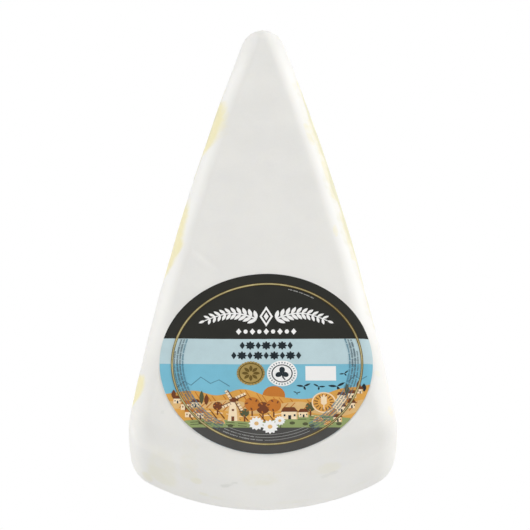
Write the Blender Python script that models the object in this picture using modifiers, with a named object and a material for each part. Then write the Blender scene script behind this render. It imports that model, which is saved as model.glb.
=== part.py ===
"""A moulded wedge of white-rinded soft cheese with a round paper label on its top.

Metres, +Z up. The wedge lies flat on its underside: its point looks along +Y, its
broad heel along -Y, and the origin is in the middle of its length and width, on the
surface that it rests on.
"""

import math

import bmesh
import bpy
from mathutils import Vector, noise

# The wedge's driving sizes, in metres. The plan is taken at the widest level.
LENGTH = 0.2650
WIDTH = 0.1257
HEIGHT = 0.0440
POINT_RADIUS = 0.0117
CORNER_RADIUS = 0.0175
SIDE_RADIUS = 1.65
HEEL_RADIUS = 0.1082
TOP_EDGE_RADIUS = 0.0090
FOOT_EDGE_RADIUS = 0.0075
WALL_BULGE = 0.0015
WIDEST_LEVEL = 0.40 * HEIGHT

# How soft cheese departs from the mould: a dip in the top and gentle swells all over.
TOP_SAG = 0.0005
SWELL_HEIGHT = 0.0004
SWELL_SPACING = 0.032
SWELL_SHIFT = Vector((3.7, 1.9, 5.3))

# The label's sizes, in metres. It sits a little right of the middle line.
LABEL_DIAMETER = 0.0995
LABEL_THICKNESS = 0.0003
LABEL_LIFT = 0.00042
LABEL_CENTRE = (0.0015, -0.0745)
LABEL_FLAT_RADIUS = 0.040

# How finely each stretch is divided
HEEL_STEPS = 10
CORNER_STEPS = 9
SIDE_STEPS = 30
POINT_STEPS = 8
TOP_EDGE_STEPS = 7
WALL_STEPS = 5
FOOT_EDGE_STEPS = 4
TOP_RINGS = (0.18, 0.38, 0.58, 0.76, 0.90)
UNDERSIDE_RINGS = (0.45, 0.82)
LABEL_SEGMENTS = 72
LABEL_INNER_RINGS = 3
LABEL_OUTER_STEP = 0.0020

# Linear colours
RIND_COLOUR = (0.80, 0.79, 0.74, 1.0)
LABEL_COLOUR = (0.035, 0.034, 0.033, 1.0)


def clear_scene():
    """Remove every object of the file that this script runs in."""
    for thing in list(bpy.data.objects):
        bpy.data.objects.remove(thing)


def make_collection(name):
    """Return a new collection of that name in the scene."""
    collection = bpy.data.collections.new(name)
    bpy.context.scene.collection.children.link(collection)
    return collection


def make_material(name, colour, roughness):
    """Return a Principled material that is not metallic."""
    material = bpy.data.materials.new(name)
    material.use_nodes = True
    shader = material.node_tree.nodes["Principled BSDF"]
    shader.inputs["Base Color"].default_value = colour
    shader.inputs["Roughness"].default_value = roughness
    shader.inputs["Metallic"].default_value = 0.0
    return material


def direction_angle(start, end):
    """Return the angle of the line from start to end, in radians."""
    return math.atan2(end[1] - start[1], end[0] - start[0])


def side_arc_centre(point_centre, corner_centre):
    """Return the centre of the side's long arc, which touches the point and the corner."""
    to_point = SIDE_RADIUS - POINT_RADIUS
    to_corner = SIDE_RADIUS - CORNER_RADIUS
    across = corner_centre - point_centre
    span = across.length
    along = (to_point**2 - to_corner**2 + span**2) / (2 * span)
    aside = math.sqrt(to_point**2 - along**2)
    unit = across / span
    inward = Vector((unit.y, -unit.x))
    return point_centre + unit * along + inward * aside


def right_hand_arcs():
    """Return the plan's right half as (centre, radius, start, end, steps), heel to point."""
    heel_y = -LENGTH / 2
    point_centre = Vector((0.0, LENGTH / 2 - POINT_RADIUS))
    heel_centre = Vector((0.0, heel_y + HEEL_RADIUS))
    corner_x = WIDTH / 2 - CORNER_RADIUS
    corner_drop = math.sqrt((HEEL_RADIUS - CORNER_RADIUS) ** 2 - corner_x**2)
    corner_centre = Vector((corner_x, heel_centre.y - corner_drop))
    side_centre = side_arc_centre(point_centre, corner_centre)
    heel_end = direction_angle(heel_centre, corner_centre)
    side_start = direction_angle(side_centre, corner_centre)
    side_end = direction_angle(side_centre, point_centre)
    quarter = math.pi / 2
    return [
        (heel_centre, HEEL_RADIUS, -quarter, heel_end, HEEL_STEPS),
        (corner_centre, CORNER_RADIUS, heel_end, side_start, CORNER_STEPS),
        (side_centre, SIDE_RADIUS, side_start, side_end, SIDE_STEPS),
        (point_centre, POINT_RADIUS, side_end, quarter, POINT_STEPS),
    ]


def plan_outline(inset):
    """Return the plan's points inside the widest outline by inset, anticlockwise."""
    right = []
    for centre, radius, start, end, steps in right_hand_arcs():
        for step in range(steps):
            angle = start + (end - start) * step / steps
            reach = radius - inset
            right.append(centre + reach * Vector((math.cos(angle), math.sin(angle))))
    tip = Vector((0.0, LENGTH / 2 - inset))
    left = [Vector((-point.x, point.y)) for point in reversed(right[1:])]
    return right + [tip] + left


def wall_inset(level):
    """Return how far the bulging wall stands inside its widest outline at a level."""
    return WALL_BULGE * ((level - WIDEST_LEVEL) / (HEIGHT - WIDEST_LEVEL)) ** 2


def edge_rings(centre_level, radius, first, last, steps):
    """Return (scale, inset, level) rings round an edge, between two slopes in degrees."""
    rings = []
    for step in range(steps + 1):
        slope = math.radians(first + (last - first) * step / steps)
        inset = wall_inset(centre_level) + radius * (1 - math.cos(slope))
        rings.append((1.0, inset, centre_level + radius * math.sin(slope)))
    return rings


def wedge_rings():
    """Return every ring of the wedge as (scale, inset, level), top to underside."""
    top_level = HEIGHT - TOP_EDGE_RADIUS
    top_edge = edge_rings(top_level, TOP_EDGE_RADIUS, 90, 0, TOP_EDGE_STEPS)
    foot_edge = edge_rings(FOOT_EDGE_RADIUS, FOOT_EDGE_RADIUS, 0, -90, FOOT_EDGE_STEPS)
    wall = []
    for step in range(1, WALL_STEPS):
        level = top_level + (FOOT_EDGE_RADIUS - top_level) * step / WALL_STEPS
        wall.append((1.0, wall_inset(level), level))
    top_face = [(scale, top_edge[0][1], HEIGHT) for scale in TOP_RINGS]
    underside = [(scale, foot_edge[-1][1], 0.0) for scale in reversed(UNDERSIDE_RINGS)]
    return top_face + top_edge + wall + foot_edge + underside


def swell(place):
    """Return the gentle unevenness of the cheese at a place, in metres."""
    return SWELL_HEIGHT * noise.noise(place / SWELL_SPACING + SWELL_SHIFT)


def soften(vertex):
    """Move a vertex of the wedge by the swells and by the dip of the top."""
    share_of_height = vertex.co.z / HEIGHT
    off_middle = Vector((vertex.co.x / (WIDTH / 2), vertex.co.y / (LENGTH / 2))).length
    dip = TOP_SAG * max(0.0, 1 - off_middle**2) * share_of_height**4
    vertex.co += vertex.normal * swell(vertex.co) * min(1.0, 4 * share_of_height)
    vertex.co.z -= dip


def make_wedge(collection, material):
    """Shape a sphere's rings into the wedge: its poles are the top's and foot's middles."""
    rings = wedge_rings()
    segments = 2 * (HEEL_STEPS + CORNER_STEPS + SIDE_STEPS + POINT_STEPS)
    shape = bmesh.new()
    bmesh.ops.create_uvsphere(
        shape, u_segments=segments, v_segments=len(rings) + 1, radius=1.0
    )
    outlines = [plan_outline(inset) for _, inset, _ in rings]
    turn = 2 * math.pi / segments
    for vertex in shape.verts:
        latitude = math.acos(max(-1.0, min(1.0, vertex.co.z)))
        ring = round(latitude / math.pi * (len(rings) + 1))
        if ring in (0, len(rings) + 1):
            vertex.co = Vector((0.0, 0.0, HEIGHT if ring == 0 else 0.0))
            continue
        scale, _, level = rings[ring - 1]
        station = round(math.atan2(vertex.co.y, vertex.co.x) / turn) % segments
        flat = outlines[ring - 1][station] * scale
        vertex.co = Vector((flat.x, flat.y, level))
    bmesh.ops.recalc_face_normals(shape, faces=shape.faces)
    shape.normal_update()
    for vertex in shape.verts:
        soften(vertex)
    mesh = bpy.data.meshes.new("cheese")
    shape.to_mesh(mesh)
    shape.free()
    mesh.shade_smooth()
    mesh.materials.append(material)
    wedge = bpy.data.objects.new("cheese", mesh)
    collection.objects.link(wedge)
    return wedge


def label_radii():
    """Return the radii of the label's rings: wide on the flat, close where it bends."""
    inner = [
        LABEL_FLAT_RADIUS * ring / LABEL_INNER_RINGS
        for ring in range(LABEL_INNER_RINGS)
    ]
    bend = LABEL_DIAMETER / 2 - LABEL_FLAT_RADIUS
    outer_count = round(bend / LABEL_OUTER_STEP)
    outer = [
        LABEL_FLAT_RADIUS + bend * ring / outer_count
        for ring in range(outer_count + 1)
    ]
    return inner + outer


def make_label(collection, material, wedge):
    """Turn a radius into a disc, lay it on the wedge and give the paper its thickness."""
    mesh = bpy.data.meshes.new("label")
    radii = label_radii()
    mesh.from_pydata(
        [(radius, 0.0, 0.0) for radius in radii],
        [(i, i + 1) for i in range(len(radii) - 1)],
        [],
    )
    mesh.materials.append(material)
    label = bpy.data.objects.new("label", mesh)
    label.location = (*LABEL_CENTRE, HEIGHT + TOP_EDGE_RADIUS)
    collection.objects.link(label)

    turned = label.modifiers.new("turned", "SCREW")
    turned.axis = "Z"
    turned.angle = 2 * math.pi
    turned.steps = LABEL_SEGMENTS
    turned.render_steps = LABEL_SEGMENTS
    turned.use_merge_vertices = True
    turned.merge_threshold = 0.00001

    laid = label.modifiers.new("laid", "SHRINKWRAP")
    laid.target = wedge
    laid.wrap_method = "PROJECT"
    laid.use_project_z = True
    laid.use_negative_direction = True
    laid.use_positive_direction = False
    laid.offset = LABEL_LIFT

    paper = label.modifiers.new("paper", "SOLIDIFY")
    paper.thickness = LABEL_THICKNESS
    paper.offset = 1.0
    return label


def main():
    """Build the wedge and its label."""
    clear_scene()
    collection = make_collection("cheese_wedge")
    rind = make_material("rind", RIND_COLOUR, 0.75)
    print_ink = make_material("label_paper", LABEL_COLOUR, 0.45)
    wedge = make_wedge(collection, rind)
    make_label(collection, print_ink, wedge)


main()
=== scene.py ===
"""Looks of a moulded wedge of white-rinded soft cheese with a round printed label.

Metres, +Z up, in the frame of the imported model: the wedge's point looks along +Y and
its heel along -Y. The label's print is drawn flat, in hundredths of its radius.
"""

import logging
import math
import random
from dataclasses import dataclass, field
from enum import Enum
from typing import Any, Callable, Iterable, Sequence

import bpy
import numpy as np
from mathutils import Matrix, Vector, noise
from mathutils.kdtree import KDTree


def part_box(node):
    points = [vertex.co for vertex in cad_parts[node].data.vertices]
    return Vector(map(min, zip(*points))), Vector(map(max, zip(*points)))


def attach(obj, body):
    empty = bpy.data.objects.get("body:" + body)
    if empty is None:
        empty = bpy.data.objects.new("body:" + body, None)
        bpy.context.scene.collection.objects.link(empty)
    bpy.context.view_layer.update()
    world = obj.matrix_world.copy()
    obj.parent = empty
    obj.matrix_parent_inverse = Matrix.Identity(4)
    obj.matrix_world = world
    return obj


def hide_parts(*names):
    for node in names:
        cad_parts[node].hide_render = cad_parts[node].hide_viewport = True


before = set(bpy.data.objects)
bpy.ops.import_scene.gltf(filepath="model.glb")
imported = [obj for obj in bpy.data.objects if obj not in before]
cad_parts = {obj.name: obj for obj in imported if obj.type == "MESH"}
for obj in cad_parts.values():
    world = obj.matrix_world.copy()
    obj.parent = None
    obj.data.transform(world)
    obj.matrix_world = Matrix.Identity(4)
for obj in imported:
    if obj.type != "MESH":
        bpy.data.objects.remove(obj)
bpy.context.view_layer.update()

log = logging.getLogger("cheese_wedge")

Point = tuple[float, float]
Place = tuple[float, float, float]
Colour = tuple[float, float, float]
Loop = list[Point]
Height = Callable[[float], float]
Socket = bpy.types.NodeSocket
Piece = bpy.types.Object

MILLIMETRE = 0.001
MERGE_DISTANCE = 0.01 * MILLIMETRE
WHITE_LIGHT = (1.0, 1.0, 1.0, 1.0)

# Where a graph's nodes stand: the first one, the gaps and how many are in a row.
NODE_START = -1600
NODE_GAPS = (190, -260)
NODES_IN_ROW = 9

# Where a mark on the rind ends, and how wide its soft rim is, as shares of its reach.
RIM_END = 1.35
RIM_WIDTH = 0.7

# The print is drawn in hundredths of the label's radius, and stops just inside its rim.
DRAWING_RADIUS = 100.0
PRINT_REACH = 99.9
DRAWING_MERGE = 0.0005

# How fine the felt of paper and ink is: features in a metre, and depth in metres.
PRINT_FELT = 2600.0
PRINT_RELIEF = 0.03 * MILLIMETRE

# Where in the noise the three parts of a shift are read.
DRIFT_SHIFTS = (
    Vector((3.1, 7.7, 1.3)),
    Vector((11.9, 2.3, 5.1)),
    Vector((6.7, 13.1, 9.7)),
)


def linear(red: int, green: int, blue: int) -> Colour:
    """Turn an 8-bit sRGB colour into linear light.

    Args:
        red: Red, 0 to 255.
        green: Green, 0 to 255.
        blue: Blue, 0 to 255.

    Returns:
        The three linear values, 0 to 1.
    """
    channels = []
    for value in (red, green, blue):
        share = value / 255
        low = share <= 0.04045
        channels.append(share / 12.92 if low else ((share + 0.055) / 1.055) ** 2.4)
    return (channels[0], channels[1], channels[2])


class Bench:
    """Short ways to the operators that shape, join and finish a piece."""

    @staticmethod
    def choose(*things: Piece) -> None:
        """Select these objects alone and make the first one active.

        Args:
            *things: The objects.
        """
        bpy.ops.object.select_all(action="DESELECT")
        for thing in things:
            thing.select_set(True)
        bpy.context.view_layer.objects.active = things[0]

    @staticmethod
    def link(name: str, data: bpy.types.ID) -> Piece:
        """Put new data into the scene.

        Args:
            name: The object's name.
            data: Its mesh or curve.

        Returns:
            The new object.
        """
        thing = bpy.data.objects.new(name, data)
        bpy.context.scene.collection.objects.link(thing)
        return thing

    @staticmethod
    def join(name: str, things: Sequence[Piece]) -> Piece:
        """Join objects into the first of them.

        Args:
            name: The joined object's name.
            things: The objects.

        Returns:
            The joined object.
        """
        Bench.choose(*things)
        if len(things) > 1:
            bpy.ops.object.join()
        joined = bpy.context.view_layer.objects.active
        joined.name = name
        joined.data.name = name
        return joined

    @staticmethod
    def apply_modifiers(thing: Piece) -> None:
        """Apply every modifier of an object, in order.

        Args:
            thing: The object.
        """
        Bench.choose(thing)
        for modifier in list(thing.modifiers):
            bpy.ops.object.modifier_apply(modifier=modifier.name)

    @staticmethod
    def settle(thing: Piece) -> None:
        """Move an object's place, turn and size into its mesh."""
        Bench.choose(thing)
        bpy.ops.object.transform_apply(location=True, rotation=True, scale=True)

    @staticmethod
    def points_of(thing: Piece) -> np.ndarray:
        """Read an object's vertices.

        Args:
            thing: The object.

        Returns:
            Rows of X, Y and Z.
        """
        points = np.empty(len(thing.data.vertices) * 3)
        thing.data.vertices.foreach_get("co", points)
        return points.reshape(-1, 3)

    @staticmethod
    def set_points(thing: Piece, points: np.ndarray) -> None:
        """Give an object's vertices new places."""
        thing.data.vertices.foreach_set("co", points.ravel())
        thing.data.update()

    @staticmethod
    def write_mask(thing: Piece, name: str, values: np.ndarray) -> None:
        """Store a value for each vertex, which a material can read by name."""
        mask = thing.data.attributes.new(name, "FLOAT", "POINT")
        mask.data.foreach_set("value", values.astype(np.float32))


class Graph:
    """A node tree, with short ways to add nodes and to join them."""

    def __init__(self, tree: bpy.types.NodeTree) -> None:
        """Work on this tree."""
        self.tree = tree
        self.count = 0

    def node(self, kind: str, **settings: Any) -> bpy.types.Node:
        """Add a node.

        Args:
            kind: Its Blender type.
            **settings: Properties to set on it.

        Returns:
            The new node.
        """
        made = self.tree.nodes.new(kind)
        row, column = divmod(self.count, NODES_IN_ROW)
        made.location = (NODE_START + NODE_GAPS[0] * column, NODE_GAPS[1] * row)
        self.count += 1
        for key, value in settings.items():
            setattr(made, key, value)
        return made

    def join(self, source: Socket, target: Socket) -> None:
        """Lead one node's output into another's input."""
        self.tree.links.new(source, target)

    @staticmethod
    def preset(node: bpy.types.Node, **values: Any) -> None:
        """Set inputs of a node, whose names are given with _ for each space."""
        for name, value in values.items():
            node.inputs[name.replace("_", " ")].default_value = value

    def noise(self, vector: Socket, size: float, detail: float) -> Socket:
        """Add a noise pattern.

        Args:
            vector: The coordinates that it reads.
            size: The width of its features, in metres.
            detail: How many finer layers it has.

        Returns:
            Its value, about 0.5 on average.
        """
        made = self.node("ShaderNodeTexNoise")
        self.preset(made, Scale=1 / size, Detail=detail)
        self.join(vector, made.inputs["Vector"])
        return made.outputs["Fac"]

    def sum_of(
        self, terms: Sequence[tuple[Socket, float]], offset: float = 0.0
    ) -> Socket:
        """Add up values, each times its own weight.

        Args:
            terms: Pairs of a value and its weight.
            offset: A number added to the sum.

        Returns:
            The sum.
        """
        total: Socket | float = offset
        for value, weight in terms:
            step = self.node("ShaderNodeMath", operation="MULTIPLY_ADD")
            self.join(value, step.inputs[0])
            step.inputs[1].default_value = weight
            if isinstance(total, float):
                step.inputs[2].default_value = total
            else:
                self.join(total, step.inputs[2])
            total = step.outputs[0]
        return total

    def ease(self, value: Socket, low: float, high: float) -> Socket:
        """Turn a value into a soft mask.

        Args:
            value: The value.
            low: Where the mask starts to rise from 0.
            high: Where it reaches 1.

        Returns:
            The mask.
        """
        made = self.node("ShaderNodeMapRange", interpolation_type="SMOOTHSTEP")
        self.preset(made, From_Min=low, From_Max=high)
        self.join(value, made.inputs["Value"])
        return made.outputs["Result"]

    def mix(
        self, mask: Socket, first: Socket | Colour, second: Socket | Colour
    ) -> Socket:
        """Mix two colours by a mask.

        Args:
            mask: 0 for the first colour and 1 for the second.
            first: A colour, or a socket that gives one.
            second: The same.

        Returns:
            The mixed colour.
        """
        made = self.node("ShaderNodeMix", data_type="RGBA")
        self.join(mask, made.inputs["Factor"])
        for colour, name in ((first, "A"), (second, "B")):
            named = [each for each in made.inputs if each.name == name]
            socket = next(each for each in named if each.type == "RGBA")
            if isinstance(colour, Socket):
                self.join(colour, socket)
            else:
                socket.default_value = (*colour, 1.0)
        return next(each for each in made.outputs if each.type == "RGBA")

    def attribute(self, name: str) -> Socket:
        """Return the value of a mesh attribute."""
        return self.node("ShaderNodeAttribute", attribute_name=name).outputs["Fac"]

    def place(self) -> Socket:
        """Return the place on the piece, in metres."""
        return self.node("ShaderNodeTexCoord").outputs["Object"]


def felt_group() -> bpy.types.NodeTree:
    """Make or find the group for a fine felted surface, of rind, paper or ink.

    Returns:
        A group with the inputs Vector and Density, and the outputs Shade and Relief.
    """
    name = "fine_felt"
    if name in bpy.data.node_groups:
        return bpy.data.node_groups[name]
    group = bpy.data.node_groups.new(name, "ShaderNodeTree")
    for socket, way, kind in (
        ("Vector", "INPUT", "NodeSocketVector"),
        ("Density", "INPUT", "NodeSocketFloat"),
        ("Shade", "OUTPUT", "NodeSocketFloat"),
        ("Relief", "OUTPUT", "NodeSocketFloat"),
    ):
        group.interface.new_socket(socket, in_out=way, socket_type=kind)
    graph = Graph(group)
    entry = graph.node("NodeGroupInput")
    leave = graph.node("NodeGroupOutput")
    cloud = graph.node("ShaderNodeTexNoise")
    graph.preset(cloud, Detail=5.0, Roughness=0.62)
    threads = graph.node("ShaderNodeTexNoise")
    graph.preset(threads, Detail=3.0, Distortion=1.4)
    finer = graph.node("ShaderNodeMath", operation="MULTIPLY")
    finer.inputs[1].default_value = 2.7
    graph.join(entry.outputs["Density"], finer.inputs[0])
    graph.join(entry.outputs["Density"], cloud.inputs["Scale"])
    graph.join(finer.outputs[0], threads.inputs["Scale"])
    for pattern in (cloud, threads):
        graph.join(entry.outputs["Vector"], pattern.inputs["Vector"])
    relief = graph.sum_of([(cloud.outputs["Fac"], 0.6), (threads.outputs["Fac"], 0.4)])
    graph.join(cloud.outputs["Fac"], leave.inputs["Shade"])
    graph.join(relief, leave.inputs["Relief"])
    return group


class Finish:
    """What every finish shares: a material with a Principled shader and a graph."""

    @staticmethod
    def start(name: str) -> tuple[bpy.types.Material, Graph, bpy.types.Node]:
        """Begin a material.

        Args:
            name: The material's name.

        Returns:
            The material, its graph and its Principled shader.
        """
        material = bpy.data.materials.new(name)
        material.use_nodes = True
        graph = Graph(material.node_tree)
        shader = material.node_tree.nodes["Principled BSDF"]
        return material, graph, shader

    @staticmethod
    def felt(graph: Graph, place: Socket, density: float) -> tuple[Socket, Socket]:
        """Add the felt group.

        Args:
            graph: The material's graph.
            place: The coordinates that it reads.
            density: Features in a metre.

        Returns:
            Its shade and its relief.
        """
        felt = graph.node("ShaderNodeGroup", node_tree=felt_group())
        graph.preset(felt, Density=density)
        graph.join(place, felt.inputs["Vector"])
        return felt.outputs["Shade"], felt.outputs["Relief"]

    @staticmethod
    def bump(
        graph: Graph,
        shader: bpy.types.Node,
        height: Socket,
        depth: float,
        strength: float,
    ) -> None:
        """Give a shader a relief.

        Args:
            graph: The material's graph.
            shader: The shader.
            height: The relief, 0 to 1.
            depth: How deep 1 is, in metres.
            strength: How strongly it shows.
        """
        bump = graph.node("ShaderNodeBump")
        graph.preset(bump, Strength=strength, Distance=depth)
        graph.join(height, bump.inputs["Height"])
        graph.join(bump.outputs["Normal"], shader.inputs["Normal"])


@dataclass(frozen=True)
class RindFinish(Finish):
    """White velvety rind, with paste showing where the mould is thin, stains, a painted
    highlight along the shoulders of the long edges and a painted shade line along the
    side edges.
    """

    white: Colour = (0.845, 0.836, 0.800)
    shade: Colour = (0.815, 0.808, 0.778)
    # Painted highlight: a lighter colour laid on the shoulders of the long edges.
    bloom: Colour = (0.895, 0.888, 0.855)
    paste: Colour = (0.880, 0.818, 0.528)
    beige: Colour = (0.765, 0.742, 0.545)
    grey: Colour = (0.600, 0.610, 0.560)
    # Painted shade: the colour of the dark olive line along the long side edges.
    olive: Colour = (0.735, 0.712, 0.500)
    stain_strength: float = 0.42
    painted_edge_shade_strength: float = 0.85
    cloud_size: float = 24.0 * MILLIMETRE
    ragged_size: float = 4.2 * MILLIMETRE
    patch_ragged: float = 0.34
    stain_and_shade_ragged: float = 0.50
    roughness: float = 0.78
    bare_gloss: float = 0.18
    felt_density: float = 900.0
    felt_depth: float = 0.25 * MILLIMETRE
    felt_strength: float = 0.35

    def material(self) -> bpy.types.Material:
        """Build the material, which reads the masks that Rind.mark writes.

        Returns:
            The material.
        """
        material, graph, shader = self.start("rind")
        place = graph.place()
        broad = graph.noise(place, self.cloud_size, 2.0)
        ragged = graph.noise(place, self.ragged_size, 4.0)
        shade, relief = self.felt(graph, place, self.felt_density)

        tone = graph.sum_of([(broad, 1.3), (shade, 0.5)], -0.4)
        colour = graph.mix(graph.ease(tone, 0.25, 0.75), self.white, self.shade)
        # Painted highlight: the shoulders of the long edges are made lighter in colour.
        colour = graph.mix(graph.attribute("bloom"), colour, self.bloom)
        patch = self.frayed(graph, "paste", ragged, self.patch_ragged)
        bare = graph.ease(patch, 0.25, 0.70)
        colour = graph.mix(bare, colour, self.paste)
        for name, tint, strength in (
            ("beige", self.beige, self.stain_strength),
            ("grey", self.grey, self.stain_strength),
            # Beige and grey are stains; olive is painted shade along the side edges.
            ("olive", self.olive, self.painted_edge_shade_strength),
        ):
            spread = self.frayed(graph, name, ragged, self.stain_and_shade_ragged)
            faint = graph.sum_of([(graph.ease(spread, 0.15, 0.9), strength)])
            colour = graph.mix(faint, colour, tint)
        graph.join(colour, shader.inputs["Base Color"])
        gloss = graph.sum_of([(bare, -self.bare_gloss)], self.roughness)
        graph.join(gloss, shader.inputs["Roughness"])
        graph.preset(
            shader,
            Specular_IOR_Level=0.35,
            Subsurface_Weight=0.12,
            Subsurface_Radius=(1.0, 0.85, 0.6),
            Subsurface_Scale=2.0 * MILLIMETRE,
            Sheen_Weight=0.12,
            Sheen_Roughness=0.5,
        )
        self.bump(graph, shader, relief, self.felt_depth, self.felt_strength)
        return material

    @staticmethod
    def frayed(graph: Graph, name: str, ragged: Socket, depth: float) -> Socket:
        """Roughen the outline of a mask.

        Args:
            graph: The material's graph.
            name: The mask's name.
            ragged: The noise, about 0.5 on average.
            depth: How much of the noise is added.

        Returns:
            The roughened mask.
        """
        return graph.sum_of([(graph.attribute(name), 1.0), (ragged, depth)], -depth / 2)


@dataclass(frozen=True)
class PaperFinish(Finish):
    """The label's own coated paper, which shows at its rim."""

    colour: Colour = (0.78, 0.78, 0.76)
    darkest: float = 0.93
    roughness: float = 0.5
    felt_strength: float = 0.3

    def material(self) -> bpy.types.Material:
        """Build the material.

        Returns:
            The material.
        """
        material, graph, shader = self.start("label_paper")
        shade, relief = self.felt(graph, graph.place(), PRINT_FELT)
        darker = tuple(self.darkest * part for part in self.colour)
        graph.join(graph.mix(shade, self.colour, darker), shader.inputs["Base Color"])
        graph.preset(shader, Roughness=self.roughness)
        self.bump(graph, shader, relief, PRINT_RELIEF, self.felt_strength)
        return material


@dataclass(frozen=True)
class InkFinish(Finish):
    """A flat printed colour, with the slight unevenness of ink on paper."""

    name: str
    colour: Colour
    roughness: float = 0.5
    metallic: float = 0.0
    uneven: float = 0.05
    cloud_size: float = 9.0 * MILLIMETRE
    felt_strength: float = 0.2

    def material(self) -> bpy.types.Material:
        """Build the material.

        Returns:
            The material.
        """
        material, graph, shader = self.start("ink_" + self.name)
        place = graph.place()
        shade, relief = self.felt(graph, place, PRINT_FELT)
        cloud = graph.noise(place, self.cloud_size, 2.0)
        lighter = tuple(min(1.0, part * (1 + self.uneven)) for part in self.colour)
        darker = tuple(part * (1 - self.uneven) for part in self.colour)
        tone = graph.ease(graph.sum_of([(shade, 0.5), (cloud, 0.5)]), 0.3, 0.7)
        graph.join(graph.mix(tone, darker, lighter), shader.inputs["Base Color"])
        graph.preset(
            shader,
            Roughness=self.roughness,
            Metallic=self.metallic,
            Specular_IOR_Level=0.2,
        )
        self.bump(graph, shader, relief, PRINT_RELIEF, self.felt_strength)
        return material


class Ink(Enum):
    """The print's colours."""

    BLACK = InkFinish("black", linear(38, 38, 33), uneven=0.12)
    SLATE = InkFinish("slate", linear(76, 75, 73), uneven=0.10)
    PALE_BLUE = InkFinish("pale_blue", linear(190, 213, 218))
    SKY = InkFinish("sky", linear(123, 190, 212), uneven=0.06)
    WHITE = InkFinish("white", linear(244, 243, 241), uneven=0.02)
    CREAM = InkFinish("cream", linear(246, 224, 188), uneven=0.04)
    SAND = InkFinish("sand", linear(224, 184, 122), uneven=0.08)
    OCHRE = InkFinish("ochre", linear(222, 164, 78), uneven=0.08)
    ORANGE = InkFinish("orange", linear(198, 120, 46), uneven=0.08)
    BROWN = InkFinish("brown", linear(116, 64, 36), uneven=0.10)
    OLIVE = InkFinish("olive", linear(84, 88, 60), uneven=0.08)
    GREEN = InkFinish("green", linear(146, 162, 104), uneven=0.08)
    NAVY = InkFinish("navy", linear(33, 44, 50))
    GREY = InkFinish("grey", linear(92, 112, 122))
    STEEL = InkFinish("steel", linear(86, 136, 158))
    ASH = InkFinish("ash", linear(176, 176, 172))
    GOLD = InkFinish("gold", linear(182, 156, 92), 0.38, 0.3, 0.22)
    PALE_GOLD = InkFinish("pale_gold", linear(190, 178, 128), 0.42, 0.2, 0.34)
    DARK_GOLD = InkFinish("dark_gold", linear(112, 90, 42), 0.42, 0.3, 0.20)


@dataclass(frozen=True)
class Blot:
    """A soft-edged spot on the cheese: its middle and its reaches, in millimetres.

    The power tells how square it is: 2 is round, and a high one is nearly a box.
    """

    middle: Place
    reach: Place
    strength: float = 1.0
    power: float = 2.0

    def cover(self, points: np.ndarray) -> np.ndarray:
        """Tell how much the spot covers each point.

        Args:
            points: Rows of X, Y and Z, in metres.

        Returns:
            A value for each point: the strength in the middle, 0 outside.
        """
        away = (points / MILLIMETRE - np.array(self.middle)) / np.array(self.reach)
        distance = (np.abs(away) ** self.power).sum(axis=1) ** (1 / self.power)
        return self.strength * soft_rim(distance)


@dataclass(frozen=True)
class Streak:
    """A soft-edged line on the cheese: its ends and its half width, in millimetres."""

    start: Place
    end: Place
    reach: float
    strength: float = 1.0

    def cover(self, points: np.ndarray) -> np.ndarray:
        """Tell how much the line covers each point.

        Args:
            points: Rows of X, Y and Z, in metres.

        Returns:
            A value for each point: the strength on the line, 0 outside.
        """
        start, end = np.array(self.start), np.array(self.end)
        _, gap = beside(points / MILLIMETRE, start, end)
        return self.strength * soft_rim(np.linalg.norm(gap, axis=1) / self.reach)


def beside(
    points: np.ndarray, start: np.ndarray, end: np.ndarray
) -> tuple[np.ndarray, np.ndarray]:
    """Measure how points lie beside a straight line.

    Args:
        points: Rows of coordinates.
        start: Where the line starts.
        end: Where it ends.

    Returns:
        How far along the line each point is, 0 to 1, and the way to it from there.
    """
    span = end - start
    offset = points - start
    share = np.clip(offset @ span / (span @ span), 0.0, 1.0)
    return share, offset - share[:, None] * span


def soft_rim(distance: np.ndarray) -> np.ndarray:
    """Turn distances, as shares of a reach, into a cover that fades about 1."""
    rise = np.clip(RIM_END - distance, 0.0, RIM_WIDTH) / RIM_WIDTH
    return rise * rise * (3 - 2 * rise)


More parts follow.
